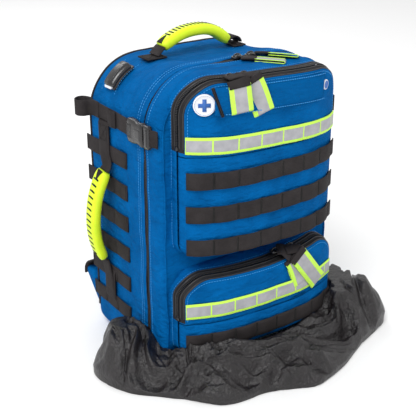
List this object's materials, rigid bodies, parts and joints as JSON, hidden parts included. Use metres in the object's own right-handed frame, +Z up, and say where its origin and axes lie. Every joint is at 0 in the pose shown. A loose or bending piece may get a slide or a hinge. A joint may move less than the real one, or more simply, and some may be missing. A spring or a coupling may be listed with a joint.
{
  "type": "trauma backpack",
  "caption": "Clamshell first responder backpack with front pockets, webbing grid, reflective bands, rubber handles, a padded harness and a rain cover pulled out of its base.",
  "frame": {"origin": "on the ground under the middle of the pack, at the foot of the base panel", "axes": "+Z up; the front pockets face -Y and the harness +Y; +X to the right of a person who faces the front"},
  "size_m": [0.488, 0.417, 0.496],
  "materials": {
    "blue_fabric": "woven polyamide, matte",
    "black_fabric": "coated woven polyamide",
    "pad_mesh": "spacer mesh",
    "black_webbing": "ribbed webbing",
    "zip_tape": "zip tape with moulded coil",
    "reflective_tape": "reflective silver between lime edges",
    "hook_loop": "brushed loop pile",
    "badge": "moulded soft badge",
    "lime_rubber": "satin moulded rubber",
    "black_rubber": "matte moulded rubber",
    "buckle_plastic": "moulded acetal, slight gloss",
    "frame_plastic": "stiff sheet, matte",
    "slider_metal": "black lacquered die casting",
    "cover_nylon": "thin coated nylon with a sheen"
  },
  "bodies": {
    "main_body": {"rear_shell": "blue_fabric", "base_panel": "black_fabric", "frame_sheet": "frame_plastic", "back_pads": "pad_mesh", "lumbar_pad": "black_fabric", "side_webbing_rows": "black_webbing", "main_zip_rear": "zip_tape", "compression_straps": "black_webbing", "buckle_sockets": "buckle_plastic", "cable_port": "black_rubber", "top_handle_anchors": "black_webbing", "side_handle_anchors": "black_webbing", "upper_shelf": "black_fabric", "lower_shelf": "black_fabric", "instrument_loops": "black_webbing", "strap_yoke": "black_fabric", "strap_base_wings": "blue_fabric", "rain_cover": "cover_nylon"},
    "front_lid": {"lid_shell": "blue_fabric", "main_zip_front": "zip_tape", "upper_pocket": "blue_fabric", "upper_webbing_rows": "black_webbing", "upper_zip_tape": "zip_tape", "lower_pocket": "blue_fabric", "lower_zip_tape": "zip_tape", "lower_webbing_row": "black_webbing", "lid_pouch": "pad_mesh", "buckle_tongues": "buckle_plastic", "front_strap_ends": "black_webbing"},
    "upper_flap": {"upper_flap": "blue_fabric", "upper_flap_zip": "zip_tape", "upper_reflective_band": "reflective_tape", "name_panel": "hook_loop", "round_badge": "badge"},
    "lower_flap": {"lower_flap": "blue_fabric", "lower_flap_zip": "zip_tape", "lower_reflective_band": "reflective_tape"},
    "top_handle": {"top_grip": "lime_rubber", "top_handle_webbing": "black_webbing"},
    "side_handle_left": {"side_grip_left": "lime_rubber", "side_handle_webbing_left": "black_webbing"},
    "shoulder_strap_left": {"shoulder_pad_left": "pad_mesh", "shoulder_webbing_left": "black_webbing"},
    "main_slider_left": {"main_slider_left": "slider_metal"},
    "main_pull_left": {"main_pull_left": "reflective_tape"},
    "upper_slider_left": {"upper_slider_left": "slider_metal"},
    "upper_pull_left": {"upper_pull_left": "reflective_tape"},
    "lower_slider_left": {"lower_slider_left": "slider_metal"},
    "lower_pull_left": {"lower_pull_left": "reflective_tape"},
    "side_handle_right": {"side_grip_right": "lime_rubber", "side_handle_webbing_right": "black_webbing"},
    "shoulder_strap_right": {"shoulder_pad_right": "pad_mesh", "shoulder_webbing_right": "black_webbing"},
    "main_slider_right": {"main_slider_right": "slider_metal"},
    "main_pull_right": {"main_pull_right": "reflective_tape"},
    "upper_slider_right": {"upper_slider_right": "slider_metal"},
    "upper_pull_right": {"upper_pull_right": "reflective_tape"},
    "lower_slider_right": {"lower_slider_right": "slider_metal"},
    "lower_pull_right": {"lower_pull_right": "reflective_tape"}
  },
  "joints": [
    {"name": "lid_hinge", "type": "hinge", "parent": "main_body", "child": "front_lid", "pos_m": [0, -0.088, 0.022], "axis": [1, 0, 0], "range_deg": [0, 40], "deforming": ["rain_cover"]},
    {"name": "upper_flap_hinge", "type": "hinge", "parent": "front_lid", "child": "upper_flap", "pos_m": [0, -0.145, 0.354], "axis": [1, 0, 0], "range_deg": [0, 70]},
    {"name": "lower_flap_hinge", "type": "hinge", "parent": "front_lid", "child": "lower_flap", "pos_m": [0, -0.143, 0.094], "axis": [1, 0, 0], "range_deg": [0, 65]},
    {"name": "top_handle_swing", "type": "hinge", "parent": "main_body", "child": "top_handle", "pos_m": [0, 0.05, 0.462], "axis": [1, 0, 0], "range_deg": [-45, 45]},
    {"name": "side_handle_left_swing", "type": "hinge", "parent": "main_body", "child": "side_handle_left", "pos_m": [-0.1635, 0.06, 0.217], "axis": [0, 0, 1], "range_deg": [-35, 35]},
    {"name": "shoulder_strap_left_swing", "type": "hinge", "parent": "main_body", "child": "shoulder_strap_left", "pos_m": [-0.0775, 0.14, 0.428], "axis": [1, 0, 0], "range_deg": [0, 25]},
    {"name": "side_handle_right_swing", "type": "hinge", "parent": "main_body", "child": "side_handle_right", "pos_m": [0.1635, 0.06, 0.217], "axis": [0, 0, 1], "range_deg": [-35, 35]},
    {"name": "shoulder_strap_right_swing", "type": "hinge", "parent": "main_body", "child": "shoulder_strap_right", "pos_m": [0.0775, 0.14, 0.428], "axis": [1, 0, 0], "range_deg": [0, 25]},
    {"name": "main_slider_left_slide", "type": "slide", "parent": "front_lid", "child": "main_slider_left", "axis": [-1, 0, 0], "range_m": [0, 0.066]},
    {"name": "main_pull_left_swing", "type": "hinge", "parent": "main_slider_left", "child": "main_pull_left", "pos_m": [-0.001, -0.0605, 0.46], "axis": [-0.6606, -0.7507, 0], "range_deg": [0, 90]},
    {"name": "main_slider_right_slide", "type": "slide", "parent": "front_lid", "child": "main_slider_right", "axis": [1, 0, 0], "range_m": [0, 0.044]},
    {"name": "main_pull_right_swing", "type": "hinge", "parent": "main_slider_right", "child": "main_pull_right", "pos_m": [0.037, -0.05, 0.46], "axis": [-0.6606, -0.7507, 0], "range_deg": [0, 90]},
    {"name": "upper_slider_left_slide", "type": "slide", "parent": "upper_flap", "child": "upper_slider_left", "axis": [-1, 0, 0], "range_m": [0, 0.016]},
    {"name": "upper_pull_left_swing", "type": "hinge", "parent": "upper_slider_left", "child": "upper_pull_left", "pos_m": [-0.07, -0.1484, 0.459], "axis": [-1, 0, 0], "range_deg": [0, 90]},
    {"name": "upper_slider_right_slide", "type": "slide", "parent": "upper_flap", "child": "upper_slider_right", "axis": [1, 0, 0], "range_m": [0, 0.13]},
    {"name": "upper_pull_right_swing", "type": "hinge", "parent": "upper_slider_right", "child": "upper_pull_right", "pos_m": [-0.045, -0.1484, 0.459], "axis": [-1, 0, 0], "range_deg": [0, 90]},
    {"name": "lower_slider_left_slide", "type": "slide", "parent": "lower_flap", "child": "lower_slider_left", "axis": [-1, 0, 0], "range_m": [0, 0.112]},
    {"name": "lower_pull_left_swing", "type": "hinge", "parent": "lower_slider_left", "child": "lower_pull_left", "pos_m": [0.022, -0.1464, 0.173], "axis": [-1, 0, 0], "range_deg": [0, 90]},
    {"name": "lower_slider_right_slide", "type": "slide", "parent": "lower_flap", "child": "lower_slider_right", "axis": [1, 0, 0], "range_m": [0, 0.044]},
    {"name": "lower_pull_right_swing", "type": "hinge", "parent": "lower_slider_right", "child": "lower_pull_right", "pos_m": [0.05, -0.1464, 0.173], "axis": [-1, 0, 0], "range_deg": [0, 90]}
  ]
}
